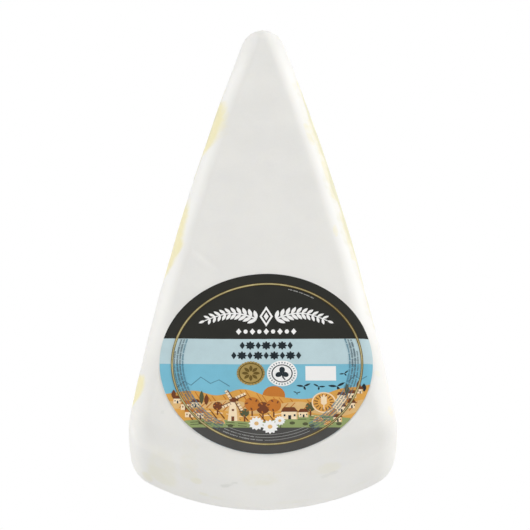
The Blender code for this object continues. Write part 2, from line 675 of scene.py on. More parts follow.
@dataclass
class Rind:
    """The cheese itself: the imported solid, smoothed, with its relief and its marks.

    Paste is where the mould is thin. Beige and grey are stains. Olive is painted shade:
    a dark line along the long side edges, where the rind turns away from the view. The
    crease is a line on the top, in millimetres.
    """

    grain: float = 1.05 * MILLIMETRE
    widest_level: float = 0.4
    level_slack: float = 0.02
    outline_count: int = 720
    edge_radius: float = 9.0 * MILLIMETRE
    edge_power: float = 1.55
    wall_bulge: float = 1.5 * MILLIMETRE
    swell: float = 0.22 * MILLIMETRE
    swell_size: float = 22.0 * MILLIMETRE
    dimple: float = 0.09 * MILLIMETRE
    dimple_size: float = 5.0 * MILLIMETRE
    crease_depth: float = 0.32 * MILLIMETRE
    crease_width: float = 1.6 * MILLIMETRE
    crease_floor: float = 40.0 * MILLIMETRE
    lip_place: float = 1.8
    lip_height: float = 0.5
    label_margin: float = 3.0 * MILLIMETRE
    foot_margin: float = 4.0 * MILLIMETRE
    # Where the painted highlight lies: a band this far in from the outline, along the
    # long edges.
    shoulder_in: float = 5.2 * MILLIMETRE
    shoulder_width: float = 3.2 * MILLIMETRE
    shoulder_heel: Point = (-72.0 * MILLIMETRE, -42.0 * MILLIMETRE)
    shoulder_tip: Point = (102.0 * MILLIMETRE, 120.0 * MILLIMETRE)
    shoulder_floor: float = 30.0 * MILLIMETRE
    wander: float = 11.0 * MILLIMETRE
    wander_top: float = 36.0 * MILLIMETRE
    wander_fade: float = 10.0 * MILLIMETRE
    edge_wander: float = 2.2 * MILLIMETRE
    drifts: tuple[Point, ...] = ((20.0 * MILLIMETRE, 1.0), (7.0 * MILLIMETRE, 0.4))
    finish: RindFinish = field(default_factory=RindFinish)
    paste: tuple[Blot | Streak, ...] = (
        Blot((-24, 67, 26), (13.5, 18, 16.3), power=3.5),
        Blot((-43, 0, 25), (14, 25, 16.0), power=3.5),
        Blot((-41, -7, 35), (8, 9, 7.2)),
        Blot((-58, -86, 30), (9, 9.5, 11.4), power=2.5),
        Blot((-36, 36, 14), (12, 14, 8), 0.8),
        Blot((-53, -46, 14), (10, 22, 8), 0.8),
        Blot((27, 62, 24), (10, 17, 12.6), 0.85, 3.0),
        Streak((17.6, 97, 38), (26.6, 64, 37), 1.7, 0.46),
        Blot((15.8, 92, 41), (2, 5, 1.6), 0.36),
        Streak((23.4, 70, 39), (30.6, 45, 39), 2.5, 0.46),
        Streak((21.6, 66, 41.4), (24.0, 55, 41.8), 2.4, 0.40),
        Streak((30.6, 43, 39.4), (35.6, 24, 39.6), 3.0, 0.47),
        Streak((34.2, 36, 37), (46.0, -13, 37), 2.0, 0.50),
        Streak((38.8, 14, 38.8), (44.2, -12, 39.2), 2.6, 0.46),
        Blot((35.2, 1, 43), (1.7, 5, 1.6), 0.42),
        Streak((45.8, -13, 37.6), (51.4, -42, 38), 1.8, 0.42),
        Blot((42, 2, 25), (10, 32, 12.4), 0.85, 3.0),
        Blot((53.6, -80, 42), (2, 3, 2.0), 0.36),
        Blot((59, -99, 39.5), (2.5, 4, 2.5), 0.36),
        Blot((57, -72, 20), (8, 12, 9.0), 0.7),
        Blot((50, -52, 12), (10, 18, 7), 0.75),
    )
    beige: tuple[Blot | Streak, ...] = (
        Blot((-45.8, -120, 28), (8, 8, 12), 0.50, 3.0),
        Blot((-46.5, -121.5, 20), (9, 6, 8), 0.66, 2.5),
        Blot((-33.8, -125, 33), (5, 6, 10), 0.44, 2.5),
        Blot((-30.7, -128, 26), (3.2, 3, 3), 0.78),
        Blot((-1.5, -131.5, 32.8), (9.5, 4, 5.4), 0.44, 2.5),
        Blot((-0.2, -131.9, 31.4), (4.4, 4, 2.8), 0.62),
        Blot((30, -127, 36), (6.4, 4, 3.4), 0.56, 2.5),
        Blot((-27.5, -129, 15.4), (2.6, 3, 1.6), 0.62),
        Blot((-21.5, -130, 14.2), (5, 3, 1.5), 0.42),
        Blot((14, -131, 12.5), (11, 3, 2.2), 0.40),
        Blot((46, -122, 13), (7, 5, 2.2), 0.36),
        Blot((-53.8, -118, 12.5), (3, 3, 4), 0.9),
        Blot((-33, -119.8, 42.5), (5, 7, 3), 0.30),
        Streak((18, 104, 18), (6, 126, 14), 3.0, 0.4),
        Blot((30, 46, 11), (6, 11, 4), 0.4),
    )
    # Painted shade: dark olive lines along the long side edges, drawn as streaks.
    olive: tuple[Blot | Streak, ...] = (
        Streak((17.4, 100, 37.2), (19.6, 92, 36.8), 1.3, 0.5),
        Streak((19.6, 92, 36.8), (26.7, 64.2, 36.8), 1.9, 0.85),
        Streak((26.7, 64.2, 36.8), (33.9, 36.4, 36.8), 2.4, 1.0),
        Streak((33.9, 36.4, 36.8), (44.6, -7.9, 36.5), 2.5, 1.1),
        Streak((44.6, -7.9, 36.5), (50.4, -37, 36.4), 1.9, 0.8),
        Streak((50.4, -37, 36.4), (53.0, -52, 36.8), 1.4, 0.5),
        Streak((-19.6, 92, 36.6), (-34.1, 36.4, 36.4), 1.4, 0.55),
        Streak((17.2, 97, 40.2), (26.2, 60, 40.2), 3.2, 0.34),
        Streak((26.2, 60, 40.2), (43.2, -10, 40.0), 3.2, 0.34),
        Streak((43.2, -10, 40.0), (51.0, -44, 39.8), 3.0, 0.30),
    )
    grey: tuple[Blot | Streak, ...] = (
        Streak((-18.4, -130.7, 25.8), (-15.6, -131.1, 27.4), 1.4, 0.66),
        Streak((-15.6, -131.1, 27.4), (-12.6, -131.3, 29.6), 0.8, 0.5),
        Blot((-17.6, -130.7, 26.2), (2.1, 3, 1.4), 1.0),
        Blot((-12.6, -131.3, 29.9), (1.7, 3, 1.1), 0.8),
        Blot((28.4, -128.3, 31.0), (2.4, 3, 1.9), 0.55),
        Blot((32.4, -127.2, 32.2), (2.6, 3, 1.8), 0.6),
        Blot((-4.1, -132, 25.6), (2, 3, 1.2), 0.35),
        Blot((20.4, -130.5, 19), (1.2, 3, 3), 0.3),
        Blot((48, -121, 13.7), (2, 3, 1.5), 0.3),
        Blot((-46.3, -101.8, 44), (1.2, 1.6, 1.5), 0.55),
        Blot((12, 112, 20), (3, 5, 2), 0.4),
    )
    crease: tuple[Point, ...] = (
        (-34.6, -8.6),
        (-30.2, -13.1),
        (-26.4, -16.8),
        (-22.5, -20.6),
        (-18.6, -24.0),
    )

    def build(self) -> tuple[Piece, Piece]:
        """Build the cheese.

        Returns:
            The finished piece, and the smooth form that the label is laid on.
        """
        form = self.smooth_form()
        Bench.choose(form)
        bpy.ops.object.duplicate()
        piece = bpy.context.view_layer.objects.active
        piece.name = "rind"
        piece.data.name = "rind"
        self.ease_edge(piece)
        self.mark(piece)
        self.roughen(piece)
        self.fold(piece)
        piece.data.materials.clear()
        piece.data.materials.append(self.finish.material())
        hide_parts("cheese")
        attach(piece, "root")
        return piece, form

    def smooth_form(self) -> Piece:
        """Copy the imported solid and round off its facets.

        Returns:
            The rounded copy.
        """
        form = Bench.link("form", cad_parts["cheese"].data.copy())
        Bench.choose(form)
        bpy.ops.object.mode_set(mode="EDIT")
        bpy.ops.mesh.select_all(action="SELECT")
        bpy.ops.mesh.remove_doubles(threshold=MERGE_DISTANCE)
        bpy.ops.mesh.tris_convert_to_quads()
        bpy.ops.object.mode_set(mode="OBJECT")
        rounding = form.modifiers.new("rounding", "SUBSURF")
        rounding.levels = 2
        rounding.render_levels = 2
        even = form.modifiers.new("even_faces", "REMESH")
        even.mode = "VOXEL"
        even.voxel_size = self.grain
        even.use_smooth_shade = True
        soften = form.modifiers.new("soften", "SMOOTH")
        soften.factor = 0.5
        soften.iterations = 10
        Bench.apply_modifiers(form)
        points = Bench.points_of(form)
        points[:, 2] = np.maximum(points[:, 2], 0.0)
        Bench.set_points(form, points)
        return form

    def ease_edge(self, piece: Piece) -> None:
        """Ease the round top edge towards a slope, as the mould leaves it.

        Args:
            piece: The rind.
        """
        points = Bench.points_of(piece)
        spring = points[:, 2].max() - self.edge_radius
        depth, inward = self.inside_outline(points)
        across = self.edge_radius + self.wall_bulge - depth
        up = points[:, 2] - spring
        edge = np.nonzero((across > 0) & (up > 0))[0]
        across, up = across[edge], up[edge]
        reach = np.hypot(across, up)
        total = (across / reach) ** self.edge_power + (up / reach) ** self.edge_power
        scale = total ** (-1 / self.edge_power)
        points[edge, 2] = spring + up * scale
        points[edge, :2] += inward[edge] * (across * (1 - scale))[:, None]
        Bench.set_points(piece, points)

    def inside_outline(self, points: np.ndarray) -> tuple[np.ndarray, np.ndarray]:
        """Measure how far points lie inside the cheese's widest outline.

        Args:
            points: Rows of X, Y and Z.

        Returns:
            The distance of each point, and the way inward at each.
        """
        loop, inward = self.widest_loop(points)
        tree = KDTree(len(loop))
        for index, (x, y) in enumerate(loop):
            tree.insert((x, y, 0.0), index)
        tree.balance()
        near = np.array([tree.find((x, y, 0.0))[1] for x, y in points[:, :2]])
        depth = ((points[:, :2] - loop[near]) * inward[near]).sum(axis=1)
        return depth, inward[near]

    def widest_loop(self, points: np.ndarray) -> tuple[np.ndarray, np.ndarray]:
        """Find the cheese's widest outline.

        Args:
            points: The form's vertices, as rows of X, Y and Z.

        Returns:
            Evenly spaced points of the outline, and the way inward at each.
        """
        level = points[:, 2] / points[:, 2].max()
        rim = points[np.abs(level - self.widest_level) < self.level_slack][:, :2]
        middle = rim.mean(axis=0)
        turn = np.arctan2(rim[:, 1] - middle[1], rim[:, 0] - middle[0])
        rim = rim[np.argsort(turn)]
        rim = np.vstack([rim, rim[:1]])
        gaps = np.hypot(*np.diff(rim, axis=0).T)
        run = np.concatenate([[0.0], np.cumsum(gaps)])
        even = np.linspace(0.0, run[-1], self.outline_count + 1)[:-1]
        loop = np.column_stack([np.interp(even, run, rim[:, axis]) for axis in (0, 1)])
        along = np.roll(loop, -2, axis=0) - np.roll(loop, 2, axis=0)
        along /= np.hypot(*along.T)[:, None]
        return loop, np.column_stack([-along[:, 1], along[:, 0]])

    def mark(self, piece: Piece) -> None:
        """Write the masks that the finish reads.

        Args:
            piece: The rind.
        """
        points = Bench.points_of(piece)
        for name, blots, places in (
            ("paste", self.paste, self.wandered(points, self.wander, self.wander_top)),
            ("beige", self.beige, points),
            ("grey", self.grey, points),
            # Olive is painted shade along the side edges.
            ("olive", self.olive, self.wandered(points, self.edge_wander, 1.0)),
        ):
            cover = np.max([blot.cover(places) for blot in blots], axis=0)
            Bench.write_mask(piece, name, cover)
        # The mask of the painted highlight on the shoulders.
        Bench.write_mask(piece, "bloom", self.painted_shoulder_highlight(points))

    def painted_shoulder_highlight(self, points: np.ndarray) -> np.ndarray:
        """Tell where the highlight is painted into the rind's colour: on the shoulders
        of the two long edges.

        Args:
            points: Rows of X, Y and Z, in metres.

        Returns:
            A value for each point, 0 to 1.
        """
        depth, _ = self.inside_outline(points)
        ridge = np.exp(-(((depth - self.shoulder_in) / self.shoulder_width) ** 2))
        rise = np.interp(points[:, 1], self.shoulder_heel, (0.0, 1.0))
        fall = np.interp(points[:, 1], self.shoulder_tip, (1.0, 0.0))
        return ridge * rise * fall * (points[:, 2] > self.shoulder_floor)

    def wandered(self, points: np.ndarray, reach: float, top: float) -> np.ndarray:
        """Shift points below a level, so that what is marked there is ragged.

        Args:
            points: Rows of X, Y and Z, in metres.
            reach: How far the shift goes, in metres.
            top: The level above which points stay, in metres.

        Returns:
            The shifted points.
        """
        low = np.clip((top - points[:, 2]) / self.wander_fade, 0.0, 1.0)
        for size, share in self.drifts:
            drift = [
                [noise.noise(Vector(point) / size + shift) for shift in DRIFT_SHIFTS]
                for point in points
            ]
            points = points + np.array(drift) * low[:, None] * share * reach
        return points

    def roughen(self, piece: Piece) -> None:
        """Raise the rind's swells and dimples, but not under the pressed-down label.

        Args:
            piece: The rind.
        """
        points = Bench.points_of(piece)
        low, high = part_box("label")
        middle = (low + high) / 2
        radius = (high.x - low.x) / 2
        away = np.hypot(points[:, 0] - middle.x, points[:, 1] - middle.y) - radius
        open_air = np.clip(away / self.label_margin, 0.0, 1.0)
        open_air[points[:, 2] < 0.5 * high.z] = 1.0
        open_air *= np.clip(points[:, 2] / self.foot_margin, 0.0, 1.0)
        group = piece.vertex_groups.new(name="open_air")
        for index, weight in enumerate(open_air):
            group.add([index], float(weight), "REPLACE")
        for name, size, depth in (
            ("swells", self.swell_size, self.swell),
            ("dimples", self.dimple_size, self.dimple),
        ):
            texture = bpy.data.textures.new(name, "CLOUDS")
            texture.noise_scale = size
            texture.noise_depth = 2
            relief = piece.modifiers.new(name, "DISPLACE")
            relief.texture = texture
            relief.texture_coords = "LOCAL"
            relief.mid_level = 0.5
            relief.strength = depth
            relief.vertex_group = "open_air"
        Bench.apply_modifiers(piece)
        piece.vertex_groups.clear()

    def fold(self, piece: Piece) -> None:
        """Press the short crease into the top, with a faint lip beside it.

        Args:
            piece: The rind.
        """
        points = Bench.points_of(piece)
        line = np.array(self.crease) * MILLIMETRE
        nearest = np.full(len(points), np.inf)
        side, along = np.zeros((2, len(points)))
        for index, (start, end) in enumerate(zip(line[:-1], line[1:])):
            share, gap = beside(points[:, :2], start, end)
            distance = np.hypot(gap[:, 0], gap[:, 1])
            closer = distance < nearest
            nearest[closer] = distance[closer]
            span = end - start
            cross = span[0] * gap[:, 1] - span[1] * gap[:, 0]
            side[closer] = np.sign(cross[closer])
            along[closer] = (index + share[closer]) / (len(line) - 1)
        fade = np.sin(np.pi * np.clip(along, 0.0, 1.0)) ** 0.5
        groove = np.exp(-((nearest / self.crease_width) ** 2))
        lip = np.exp(-((nearest / self.crease_width - self.lip_place) ** 2))
        lip *= self.lip_height * (side < 0)
        lift = self.crease_depth * fade * (lip - groove)
        points[:, 2] += np.where(points[:, 2] > self.crease_floor, lift, 0.0)
        Bench.set_points(piece, points)


class Draw:
    """Outlines of the print's motifs, as loops of points in hundredths of a radius."""

    @staticmethod
    def polar(middle: Point, radius: float, turn: float) -> Point:
        """Find a point on a circle.

        Args:
            middle: The circle's centre.
            radius: Its radius.
            turn: The angle, in degrees.

        Returns:
            The point.
        """
        angle = math.radians(turn)
        return (
            middle[0] + radius * math.cos(angle),
            middle[1] + radius * math.sin(angle),
        )

    @staticmethod
    def placed(points: Iterable[Point], place: Point, turn: float) -> Loop:
        """Turn points round their origin and then move them.

        Args:
            points: The points.
            place: Where their origin comes.
            turn: The angle, in degrees.

        Returns:
            The moved points.
        """
        cosine, sine = math.cos(math.radians(turn)), math.sin(math.radians(turn))
        return [
            (place[0] + x * cosine - y * sine, place[1] + x * sine + y * cosine)
            for x, y in points
        ]

    @staticmethod
    def oval(
        middle: Point, across: float, up: float, turn: float = 0.0, count: int = 28
    ) -> Loop:
        """Draw an oval.

        Args:
            middle: Its centre.
            across: Half its width.
            up: Half its height.
            turn: How far it is turned, in degrees.
            count: How many points it has.

        Returns:
            The loop.
        """
        angles = [2 * math.pi * step / count for step in range(count)]
        points = [(across * math.cos(angle), up * math.sin(angle)) for angle in angles]
        return Draw.placed(points, middle, turn)

    @staticmethod
    def disc(middle: Point, radius: float, count: int = 48) -> Loop:
        """Return a circle as a loop."""
        return Draw.oval(middle, radius, radius, 0.0, count)

    @staticmethod
    def hoop(middle: Point, outer: float, inner: float, count: int = 48) -> list[Loop]:
        """Return the two loops of a flat ring."""
        return [Draw.disc(middle, outer, count), Draw.disc(middle, inner, count)]

    @staticmethod
    def leaf(root: Point, angle: float, length: float, width: float) -> Loop:
        """Draw a leaf that is pointed at both ends.

        Args:
            root: Where it grows from.
            angle: The way that it points, in degrees.
            length: Its length.
            width: Its width at the middle.

        Returns:
            The loop.
        """
        steps, bluntness = 7, 0.8
        edge = []
        for step in range(steps + 1):
            share = step / steps
            half = width / 2 * math.sin(math.pi * share) ** bluntness
            edge.append((share * length, half))
        back = [(x, -y) for x, y in reversed(edge[1:-1])]
        return Draw.placed(edge + back, root, angle)

    @staticmethod
    def star(middle: Point, outer: float, inner: float, count: int) -> Loop:
        """Draw a star or a toothed disc.

        Args:
            middle: Its centre.
            outer: The radius of its tips.
            inner: The radius of its notches.
            count: How many tips it has.

        Returns:
            The loop.
        """
        return [
            Draw.polar(middle, inner if step % 2 else outer, 90 + 180 * step / count)
            for step in range(2 * count)
        ]

    @staticmethod
    def box(low: Point, high: Point) -> Loop:
        """Return an upright rectangle between two corners."""
        return [low, (high[0], low[1]), high, (low[0], high[1])]

    @staticmethod
    def lozenge(middle: Point, across: float, up: float) -> Loop:
        """Return an upright lozenge, given half its width and half its height."""
        x, y = middle
        return [(x - across, y), (x, y - up), (x + across, y), (x, y + up)]

    @staticmethod
    def stroke(path: Sequence[Point], width: float, taper: float = 1.0) -> Loop:
        """Draw a line of some width along a path.

        Args:
            path: The points that it follows.
            width: Its width at the start.
            taper: Its width at the end, as a share of that at the start.

        Returns:
            The loop.
        """
        left, right = [], []
        last = len(path) - 1
        for index, point in enumerate(path):
            before, after = path[max(0, index - 1)], path[min(last, index + 1)]
            along = Vector((after[0] - before[0], after[1] - before[1])).normalized()
            half = width / 2 * (1 + (taper - 1) * index / last)
            left.append((point[0] - along.y * half, point[1] + along.x * half))
            right.append((point[0] + along.y * half, point[1] - along.x * half))
        return left + right[::-1]

    @staticmethod
    def bar(start: Vector, end: Vector, width: float) -> Loop:
        """Draw a straight line of some width between two places."""
        return Draw.stroke([(start.x, start.y), (end.x, end.y)], width)

    @staticmethod
    def arc(radius: float, start: float, end: float, count: int) -> list[Point]:
        """Return points on a circle round the label's middle, between two angles."""
        turns = [start + (end - start) * step / count for step in range(count + 1)]
        return [Draw.polar((0.0, 0.0), radius, turn) for turn in turns]

    @staticmethod
    def level(height: float) -> Height:
        """Return a line that has the same height all across the label."""
        return lambda x: height

    @staticmethod
    def ridge(*knots: Point) -> Height:
        """Draw a rolling skyline through some points, from left to right.

        Args:
            *knots: The points.

        Returns:
            A function that tells the skyline's height at a place across the label.
        """

        def height(x: float) -> float:
            """Tell the skyline's height.

            Args:
                x: The place across the label.

            Returns:
                The height there.
            """
            for (x0, y0), (x1, y1) in zip(knots[:-1], knots[1:]):
                if x <= x1:
                    share = max(0.0, (x - x0) / (x1 - x0))
                    return y0 + (y1 - y0) * (1 - math.cos(math.pi * share)) / 2
            return knots[-1][1]

        return height

    @staticmethod
    def band(low: Height, high: Height) -> Loop:
        """Draw the part of the label that lies between two lines.

        Args:
            low: The lower line's height at a place across the label.
            high: The upper line's height there.

        Returns:
            The loop.
        """
        floor, roof = [], []
        count, thinnest = 180, 0.02
        for step in range(count + 1):
            x = -PRINT_REACH * math.cos(math.pi * step / count)
            rim = math.sqrt(max(0.0, PRINT_REACH**2 - x**2))
            bottom, top = max(low(x), -rim), min(high(x), rim)
            if top - bottom > thinnest:
                floor.append((x, bottom))
                roof.append((x, top))
        return floor + roof[::-1]


@dataclass
class LabelPrint:
    """The label: a sheet of paper, with fields of colour and simple motifs over it.

    The cells are what the flat sheets are cut into, in the drawing's units: fine ones
    where the label bends over the edge of the cheese, coarse ones elsewhere.
    """

    radius: float
    middle: Vector
    form: Piece
    paper_lift: float = 0.12 * MILLIMETRE
    paper_thickness: float = 0.12 * MILLIMETRE
    layer_step: float = 0.018 * MILLIMETRE
    ink_thickness: float = 0.010 * MILLIMETRE
    drop_height: float = 80.0 * MILLIMETRE
    smooth_angle: float = 40.0
    coarse_cell: float = 4.0
    fine_cell: float = 1.7
    flat_across: float = 68.0
    flat_down: float = 84.0
    cap_line: float = 25.6
    band_line: float = -2.6
    ground_line: float = -71.9
    runs: dict[tuple[int, Ink], list[list[Loop]]] = field(default_factory=dict)

    def add(self, layer: int, ink: Ink, loops: Iterable[Loop]) -> None:
        """Add loops that don't cross, a hole inside its outline, to a layer and ink."""
        self.runs.setdefault((layer, ink), []).append(list(loops))

    def build(self) -> list[Piece]:
        """Build the paper and every printed piece.

        Returns:
            The pieces.
        """
        paper = self.sheet(
            "label_sheet",
            [[Draw.disc((0, 0), DRAWING_RADIUS, 240)]],
            self.paper_lift,
            self.paper_thickness,
        )
        paper.data.materials.append(PaperFinish().material())
        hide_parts("label")
        self.draw_fields()
        self.draw_landscape()
        self.draw_ring()
        self.draw_ticks()
        self.draw_sprigs()
        self.draw_frieze()
        self.draw_roundels()
        pieces = [paper]
        dressed: dict[Ink, bpy.types.Material] = {}
        for (layer, ink), sheets in sorted(
            self.runs.items(), key=lambda run: (run[0][0], run[0][1].name)
        ):
            lift = self.paper_lift + self.paper_thickness + layer * self.layer_step
            name = f"print_{layer}_{ink.value.name}"
            piece = self.sheet(name, sheets, lift, self.ink_thickness)
            if ink not in dressed:
                dressed[ink] = ink.value.material()
            piece.data.materials.append(dressed[ink])
            pieces.append(piece)
        for piece in pieces:
            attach(piece, "root")
        return pieces

    def sheet(
        self, name: str, sheets: Sequence[list[Loop]], lift: float, thickness: float
    ) -> Piece:
        """Make a thin sheet of flat outlines and lay it on the cheese.

        Args:
            name: The piece's name.
            sheets: Groups of loops; those of one group don't cross each other.
            lift: How far over the cheese the sheet lies, in metres.
            thickness: Its thickness, in metres.

        Returns:
            The piece.
        """
        flats = [self.flat(name, loops) for loops in sheets]
        piece = Bench.join(name, flats)
        self.cut_into_cells(piece)
        piece.scale = (self.radius / DRAWING_RADIUS,) * 3
        piece.location = (self.middle.x, self.middle.y, self.drop_height)
        Bench.settle(piece)
        laid = piece.modifiers.new("laid", "SHRINKWRAP")
        laid.target = self.form
        laid.wrap_method = "PROJECT"
        laid.use_project_z = True
        laid.use_negative_direction = True
        laid.use_positive_direction = False
        laid.offset = lift
        solid = piece.modifiers.new("solid", "SOLIDIFY")
        solid.thickness = thickness
        solid.offset = 1.0
        Bench.apply_modifiers(piece)
        bpy.ops.object.shade_smooth_by_angle(angle=math.radians(self.smooth_angle))
        return piece

    @staticmethod
    def flat(name: str, loops: Sequence[Loop]) -> Piece:
        """Fill loops, in the drawing's own units.

        Args:
            name: The mesh's name.
            loops: The loops.

        Returns:
            The mesh, facing up.
        """
        outline = bpy.data.curves.new(name, "CURVE")
        outline.dimensions = "2D"
        outline.fill_mode = "BOTH"
        for loop in loops:
            spline = outline.splines.new("POLY")
            spline.points.add(len(loop) - 1)
            for place, (x, y) in zip(spline.points, loop):
                place.co = (x, y, 0.0, 1.0)
            spline.use_cyclic_u = True
        thing = Bench.link(name, outline)
        Bench.choose(thing)
        bpy.ops.object.convert(target="MESH")
        thing = bpy.context.view_layer.objects.active
        bpy.ops.object.mode_set(mode="EDIT")
        bpy.ops.mesh.select_all(action="SELECT")
        bpy.ops.mesh.remove_doubles(threshold=DRAWING_MERGE)
        if sum(face.normal.z * face.area for face in thing.data.polygons) < 0:
            bpy.ops.mesh.flip_normals()
        bpy.ops.object.mode_set(mode="OBJECT")
        return thing

    def cell_lines(self, flat_from: float, flat_to: float) -> list[float]:
        """Find where to cut: wide cells on the flat, narrow ones where the label bends.

        Args:
            flat_from: Where the flat part of the label starts.
            flat_to: Where it ends.

        Returns:
            The places of the cuts.
        """
        lines = []
        place = -DRAWING_RADIUS
        while place < DRAWING_RADIUS:
            bends = place < flat_from or place >= flat_to
            place += self.fine_cell if bends else self.coarse_cell
            lines.append(place)
        return lines[:-1]

    def cut_into_cells(self, piece: Piece) -> None:
        """Cut a flat mesh into small cells, so that it can follow the cheese.

        Args:
            piece: The mesh.
        """
        points = Bench.points_of(piece)
        Bench.choose(piece)
        bpy.ops.object.mode_set(mode="EDIT")
        across = self.cell_lines(-self.flat_across, self.flat_across)
        down = self.cell_lines(-self.flat_down, DRAWING_RADIUS)
        for axis, lines in ((0, across), (1, down)):
            low, high = points[:, axis].min(), points[:, axis].max()
            for line in lines:
                if low < line < high:
                    bpy.ops.mesh.select_all(action="SELECT")
                    bpy.ops.mesh.bisect(
                        plane_co=(line if axis == 0 else 0, line if axis else 0, 0),
                        plane_no=(1 - axis, axis, 0),
                        threshold=MERGE_DISTANCE,
                    )
        bpy.ops.object.mode_set(mode="OBJECT")

    def draw_fields(self) -> None:
        """Draw the dark cap and foot, the pale band and the sky."""
        edge = 2 * DRAWING_RADIUS
        cap, ground = Draw.level(self.cap_line), Draw.level(self.ground_line)
        pale = Draw.band(Draw.level(self.band_line), Draw.level(self.cap_line + 0.2))
        self.add(0, Ink.SKY, [Draw.disc((0, 0), PRINT_REACH, 240)])
        self.add(1, Ink.PALE_BLUE, [pale])
        self.add(2, Ink.BLACK, [Draw.band(cap, Draw.level(edge))])
        self.add(6, Ink.SLATE, [Draw.band(Draw.level(-edge), ground)])

    def draw_landscape(self) -> None:
        """Draw rolling fields with farms, stacks, trees, a mill and flowers."""
        far = [(-68, -32), (-46, -37), (-22, -30), (6, -38), (34, -41), (80, -28)]
        mid = [(-62, -45), (-34, -42), (-4, -48), (30, -44), (58, -50)]
        near = [(-58, -51), (-16, -57), (24, -53), (66, -60)]
        meadow = [(-50, -63), (-8, -66), (34, -58)]
        lines = [
            Draw.ridge((-100, first), *knots, (100, last))
            for knots, first, last in (
                (far, -36, -25),
                (mid, -43, -40),
                (near, -52, -50),
                (meadow, -66, -63),
            )
        ]
        low = Draw.level(self.ground_line - 1.5)
        self.add(1, Ink.ORANGE, [Draw.disc((7, -37), 10.5)])
        inks = (Ink.OCHRE, Ink.SAND, Ink.OCHRE, Ink.GREEN)
        for layer, (ink, line) in enumerate(zip(inks, lines), start=2):
            self.add(layer, ink, [Draw.band(low, line)])
        self.draw_crops(*lines)
        self.draw_farms()
        self.draw_stacks()
        self.draw_trees()
        self.draw_mill((-30.0, -65.0))
        self.draw_sky_life()
        self.draw_flowers()

    def draw_crops(
        self, far: Height, mid: Height, near: Height, meadow: Height
    ) -> None:
        """Draw the rows and furrows of the fields.

        Args:
            far: The height of the far hills.
            mid: The height of the hills in front of them.
            near: The height of the near field.
            meadow: The height of the meadow.
        """
        for layer, ink, top, bottom, pitch, lean in (
            (3, Ink.ORANGE, far, mid, 5.2, 0.5),
            (4, Ink.ORANGE, mid, near, 6.4, -0.7),
            (5, Ink.BROWN, near, meadow, 7.7, 0.6),
        ):
            for index in range(-17, 18):
                x = pitch * index + 1.3
                drop = top(x) - bottom(x)
                path = [
                    (x + lean * share * drop, top(x) - 0.8 - share * (drop - 1.6))
                    for share in (0.0, 0.33, 0.66, 1.0)
                ]
                reach = math.hypot(*path[-1])
                if drop > 4 and reach < 96 and (index + layer) % 3:
                    self.add(layer, ink, [Draw.stroke(path, 0.7, 1.8)])
        for layer, ink, line, drop in (
            (6, Ink.OLIVE, meadow, 2.4),
            (6, Ink.OLIVE, meadow, 5.0),
            (5, Ink.CREAM, near, 3.2),
        ):
            for start in range(-70, 60, 11):
                if layer == 5 or not -24 < start < 20:
                    path = [(x, line(x) - drop) for x in range(start, start + 9, 2)]
                    if path[0][1] > self.ground_line + 0.8:
                        self.add(layer, ink, [Draw.stroke(path, 0.7)])

    def draw_farms(self) -> None:
        """Draw the barn and the small houses."""
        for x, y, width, height in (
            (-86, -46, 7.5, 5.5),
            (-79, -53, 9, 6.5),
            (-69.5, -50, 8, 5.5),
            (-75, -61, 9, 6.0),
            (-65, -62, 8, 6.0),
            (66, -42, 8, 5.5),
            (76, -40, 8, 5.5),
            (84.5, -35, 5.5, 5.0),
            (65.5, -55.5, 8.5, 6.5),
            (75.5, -51, 7.5, 6.0),
            (62, -66, 8, 5.5),
        ):
            self.draw_house((x, y), width, height)
        self.draw_house((14, -63), 15, 8.5)
        self.draw_house((30, -61), 9, 6.0)

    def draw_house(self, corner: Point, width: float, height: float) -> None:
        """Draw a house with a roof, a door and two windows.

        Args:
            corner: The lower left corner of its wall.
            width: The wall's width.
            height: The wall's height.
        """
        x, y = corner
        eaves = y + height
        self.add(6, Ink.CREAM, [Draw.box(corner, (x + width, eaves))])
        roof = [
            (x - 0.7, eaves - 0.4),
            (x + width + 0.7, eaves - 0.4),
            (x + 0.80 * width, eaves + 0.55 * height),
            (x + 0.16 * width, eaves + 0.55 * height),
        ]
        warm = round(x) % 2
        self.add(7, Ink.ORANGE if warm else Ink.BROWN, [roof])
        openings = []
        for left, right, low, top in (
            (0.42, 0.60, 0.0, 0.52),
            (0.14, 0.25, 0.38, 0.64),
            (0.76, 0.87, 0.38, 0.64),
        ):
            foot = (x + left * width, y + low * height)
            openings.append(Draw.box(foot, (x + right * width, y + top * height)))
        self.add(7, Ink.BROWN if warm else Ink.NAVY, openings)
        edge = Draw.stroke([(x + width - 0.5, y), (x + width - 0.5, eaves - 0.4)], 1.0)
        self.add(7, Ink.SAND, [edge])

    def draw_stacks(self) -> None:
        """Draw the haystacks."""
        stacks, bands = [], []
        for x, y, size in (
            (-52, -66, 5.4),
            (-42.5, -68, 4.6),
            (48, -66, 5.0),
            (57, -69, 4.0),
        ):
            tall = 1.35 * size
            turns = [math.pi * step / 16 for step in range(17)]
            dome = [(x + size * math.cos(a), y + tall * math.sin(a)) for a in turns]
            stacks.append(dome)
            for level in (0.32, 0.68):
                half = size * math.sqrt(1 - level**2) - 0.7
                height = y + tall * level
                rope = [(x - half, height), (x, height - 0.9), (x + half, height)]
                bands.append(Draw.stroke(rope, 0.8))
        self.add(6, Ink.SAND, stacks)
        self.add(7, Ink.ORANGE, bands)

